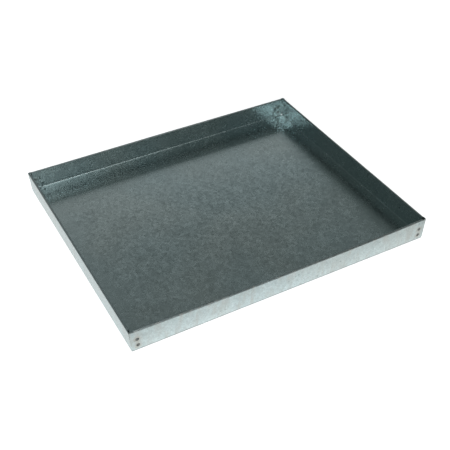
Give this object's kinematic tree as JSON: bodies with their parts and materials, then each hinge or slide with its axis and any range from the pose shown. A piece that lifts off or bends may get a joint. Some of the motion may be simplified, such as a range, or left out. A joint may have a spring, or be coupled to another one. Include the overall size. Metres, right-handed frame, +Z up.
{
  "type": "oil drain pan",
  "caption": "Shallow open rectangular drip tray folded from galvanised sheet steel, with rims hemmed inwards and lapped corners held by spot welds.",
  "frame": {"origin": "middle of the underside of the floor, under the centre of the tray", "axes": "+X along the long sides, +Y from the front wall to the back wall, +Z up out of the open top"},
  "size_m": [0.6, 0.5, 0.044],
  "materials": {
    "galvanised_steel": "hot-dip zinc coating with a fine spangle, satin",
    "weld_mark": "scorched, matt, slightly pitted"
  },
  "bodies": {
    "root": {"pan_sheet": "galvanised_steel", "weld_front_left_upper": "weld_mark", "weld_front_left_lower": "weld_mark", "weld_front_right_upper": "weld_mark", "weld_front_right_lower": "weld_mark", "weld_back_left_upper": "weld_mark", "weld_back_left_lower": "weld_mark", "weld_back_right_upper": "weld_mark", "weld_back_right_lower": "weld_mark"}
  },
  "joints": []
}
